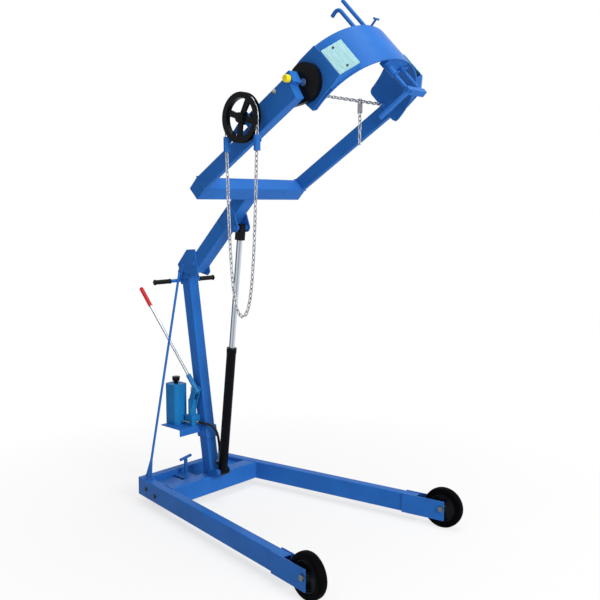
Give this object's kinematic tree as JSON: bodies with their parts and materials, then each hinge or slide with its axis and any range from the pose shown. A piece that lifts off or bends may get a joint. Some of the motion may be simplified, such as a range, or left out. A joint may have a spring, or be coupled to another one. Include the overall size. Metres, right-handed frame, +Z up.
{
  "type": "drum handler",
  "caption": "Wheeled drum handler with splayed legs, leaning mast, hand-pumped hydraulic boom and a forked yoke carrying a chain-tilted drum saddle with sliding hooks.",
  "frame": {"origin": "on the floor, under the centre of the whole machine's box", "axes": "+X forward along the legs, +Y to the operator's left, +Z up"},
  "size_m": [1.8396, 1.1114, 2.5287],
  "materials": {
    "blue_paint": "gloss paint",
    "pump_blue": "gloss paint",
    "black_paint": "semi-gloss paint",
    "steel": "plain machined steel",
    "chain_zinc": "zinc plated",
    "bare_plate": "bare rolled plate",
    "chrome_rod": "ground chrome",
    "black_tyre": "moulded rubber",
    "black_rubber": "soft black",
    "red_grip": "dipped grip",
    "yellow_knob": "moulded knob"
  },
  "bodies": {
    "base": {"rear_rail": "blue_paint", "near_leg": "blue_paint", "far_leg": "blue_paint", "base_crossmember": "blue_paint", "caster_mounts": "blue_paint", "front_fork_plates": "blue_paint", "front_axles": "steel", "frame_bolts": "steel", "mast": "blue_paint", "mast_cheeks": "blue_paint", "boom_pivot_pin": "steel", "push_handle": "blue_paint", "handle_grips": "black_rubber", "side_brace": "blue_paint", "lift_base_mount": "blue_paint", "pump_shelf": "blue_paint", "oil_tank": "pump_blue", "tank_cap": "black_paint", "pump_body": "pump_blue", "floor_lock_housing": "blue_paint", "hydraulic_hose": "black_rubber"},
    "lever": {"pump_lever": "steel", "lever_grip": "red_grip"},
    "piston": {"pump_piston": "steel"},
    "valve": {"release_valve": "steel"},
    "floor_lock": {"floor_lock_pedal": "blue_paint"},
    "near_caster": {"near_caster_fork": "black_paint"},
    "far_caster": {"far_caster_fork": "black_paint"},
    "near_caster_roller": {"near_caster_wheel": "black_tyre"},
    "far_caster_roller": {"far_caster_wheel": "black_tyre"},
    "near_wheel": {"near_front_wheel": "black_tyre"},
    "far_wheel": {"far_front_wheel": "black_tyre"},
    "barrel": {"lift_barrel": "black_paint"},
    "ram": {"lift_rod": "chrome_rod", "rod_end": "black_paint"},
    "boom_assembly": {"boom": "blue_paint", "yoke_crossmember": "blue_paint", "near_arm": "blue_paint", "far_arm": "blue_paint", "drive_box": "blue_paint", "gear_housing": "black_paint", "boom_ears": "blue_paint", "drive_chain": "steel"},
    "hand_wheel": {"chain_wheel": "black_paint"},
    "pinion": {"pinion_shaft": "steel"},
    "plunger": {"lock_plunger": "yellow_knob"},
    "hanging_chain": {"pull_chain": "chain_zinc", "chain_guide": "blue_paint"},
    "holder": {"saddle": "blue_paint", "trunnion_brackets": "blue_paint", "cover_plates": "bare_plate", "trunnion_shafts": "steel", "tilt_gear": "steel", "cinch_chain": "chain_zinc"},
    "bottom_hook_body": {"bottom_hook": "blue_paint"},
    "lid_hook_body": {"lid_hook": "blue_paint"},
    "lid_screw": {"lid_clamp_screw": "blue_paint"},
    "lid_nut": {"lid_clamp_nut": "blue_paint"},
    "grab_hook": {"cinch_hook": "steel"},
    "chain_tail": {"cinch_tail": "chain_zinc"}
  },
  "joints": [
    {"name": "boom_lift", "type": "hinge", "parent": "base", "child": "boom_assembly", "pos_m": [-0.47166, 0, 1.29102], "axis": [0, -1, 0], "range_deg": [-75, 0], "deforming": ["pull_chain"]},
    {"name": "cylinder_swing", "type": "hinge", "parent": "base", "child": "barrel", "pos_m": [-0.30268, 0, 0.172], "axis": [0, -1, 0], "range_deg": [-1, 0.2]},
    {"name": "ram_slide", "type": "slide", "parent": "barrel", "child": "ram", "axis": [0.1136, 0, 0.9935], "range_m": [-0.4605, 0]},
    {"name": "drum_tilt", "type": "hinge", "parent": "boom_assembly", "child": "holder", "pos_m": [0.56438, 0, 2.11567], "axis": [0, 1, 0], "continuous": true},
    {"name": "chain_wheel_spin", "type": "hinge", "parent": "boom_assembly", "child": "hand_wheel", "pos_m": [0.30476, -0.0004, 1.98083], "axis": [0, 1, 0], "continuous": true},
    {"name": "pinion_spin", "type": "hinge", "parent": "boom_assembly", "child": "pinion", "pos_m": [0.47514, -0.3, 2.06034], "axis": [0, 1, 0], "continuous": true},
    {"name": "chain_hang", "type": "hinge", "parent": "boom_assembly", "child": "hanging_chain", "pos_m": [0.30476, -0.4, 1.98083], "axis": [0, -1, 0], "range_deg": [-1, 76]},
    {"name": "lock_pull", "type": "slide", "parent": "boom_assembly", "child": "plunger", "axis": [0, -1, 0], "range_m": [0, 0.008], "stiffness_N_per_m": 600, "springref_m": -0.006},
    {"name": "lever_pump", "type": "hinge", "parent": "base", "child": "lever", "pos_m": [-0.44068, -0.062, 0.612], "axis": [0, -1, 0], "range_deg": [-20, 20]},
    {"name": "piston_slide", "type": "slide", "parent": "base", "child": "piston", "axis": [0, 0, 1], "range_m": [-0.0135, 0.0135]},
    {"name": "release_valve_turn", "type": "hinge", "parent": "base", "child": "valve", "pos_m": [-0.47468, -0.09, 0.436], "axis": [0, -1, 0], "range_deg": [0, 180]},
    {"name": "floor_lock_slide", "type": "slide", "parent": "base", "child": "floor_lock", "axis": [0, 0, 1], "range_m": [0, 0.028]},
    {"name": "near_caster_swivel", "type": "hinge", "parent": "base", "child": "near_caster", "pos_m": [-0.50968, -0.2, 0.09], "axis": [0, 0, 1], "continuous": true},
    {"name": "far_caster_swivel", "type": "hinge", "parent": "base", "child": "far_caster", "pos_m": [-0.50968, 0.2, 0.09], "axis": [0, 0, 1], "continuous": true},
    {"name": "near_caster_roll", "type": "hinge", "parent": "near_caster", "child": "near_caster_roller", "pos_m": [-0.53768, -0.2, 0.038], "axis": [0, 1, 0], "continuous": true},
    {"name": "far_caster_roll", "type": "hinge", "parent": "far_caster", "child": "far_caster_roller", "pos_m": [-0.53768, 0.2, 0.038], "axis": [0, 1, 0], "continuous": true},
    {"name": "near_wheel_roll", "type": "hinge", "parent": "base", "child": "near_wheel", "pos_m": [0.76971, -0.51306, 0.1016], "axis": [0.1616, 0.9869, 0], "continuous": true},
    {"name": "far_wheel_roll", "type": "hinge", "parent": "base", "child": "far_wheel", "pos_m": [0.76971, 0.51306, 0.1016], "axis": [-0.1616, 0.9869, 0], "continuous": true},
    {"name": "bottom_hook_slide", "type": "slide", "parent": "holder", "child": "bottom_hook_body", "axis": [0.7009, 0, -0.7133], "range_m": [-0.06, 0.1]},
    {"name": "lid_hook_slide", "type": "slide", "parent": "holder", "child": "lid_hook_body", "axis": [0.7009, 0, -0.7133], "range_m": [-0.08, 0.06]},
    {"name": "lid_screw_turn", "type": "hinge", "parent": "holder", "child": "lid_screw", "pos_m": [0.61542, 0.045, 2.37333], "axis": [0.7133, 0, 0.7009], "range_deg": [-180, 180]},
    {"name": "lid_nut_turn", "type": "hinge", "parent": "holder", "child": "lid_nut", "pos_m": [0.79976, 0.045, 2.18574], "axis": [0.7009, 0, -0.7133], "range_deg": [-180, 180]},
    {"name": "grab_hook_hang", "type": "hinge", "parent": "holder", "child": "grab_hook", "pos_m": [0.52871, 0.104, 2.08063], "axis": [0, 1, 0], "continuous": true},
    {"name": "chain_tail_hang", "type": "hinge", "parent": "grab_hook", "child": "chain_tail", "pos_m": [0.52871, 0.104, 2.03748], "axis": [0, -1, 0], "range_deg": [-1, 76]}
  ],
  "couplings": [
    {"joint": "cylinder_swing", "follows": "boom_lift", "ratio": 0.00819},
    {"joint": "ram_slide", "follows": "boom_lift", "m_per_rad": 0.3513},
    {"joint": "chain_hang", "follows": "boom_lift", "ratio": -1},
    {"joint": "chain_tail_hang", "follows": "boom_lift", "ratio": -1},
    {"joint": "chain_wheel_spin", "follows": "drum_tilt", "ratio": -4.5},
    {"joint": "pinion_spin", "follows": "drum_tilt", "ratio": -2.5},
    {"joint": "grab_hook_hang", "follows": "drum_tilt", "ratio": -1},
    {"joint": "piston_slide", "follows": "lever_pump", "m_per_rad": -0.037}
  ]
}
